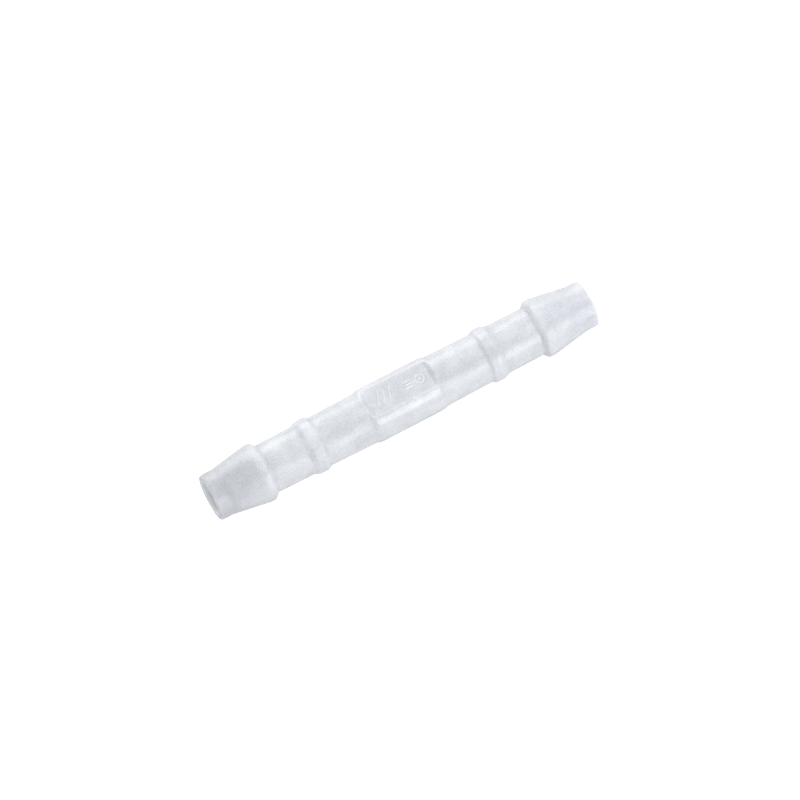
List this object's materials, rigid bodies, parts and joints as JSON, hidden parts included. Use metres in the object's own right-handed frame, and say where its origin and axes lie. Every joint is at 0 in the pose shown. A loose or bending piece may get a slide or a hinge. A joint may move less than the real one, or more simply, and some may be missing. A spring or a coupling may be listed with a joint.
{
  "type": "barbed hose connector",
  "caption": "Straight barbed hose connector: one moulded tube with a barb and a sealing ring at each end, a through bore and a short collar with two flats in the middle.",
  "frame": {"origin": "middle of the part, on the axis of the bore", "axes": "+X along the bore towards one end (the two ends are alike), +Z square out of the marked flat"},
  "size_m": [0.0666, 0.0096, 0.0096],
  "materials": {
    "natural_pp": "natural translucent polypropylene, milky, satin moulded surface"
  },
  "bodies": {
    "root": {"hose_connector": "natural_pp"}
  },
  "joints": []
}
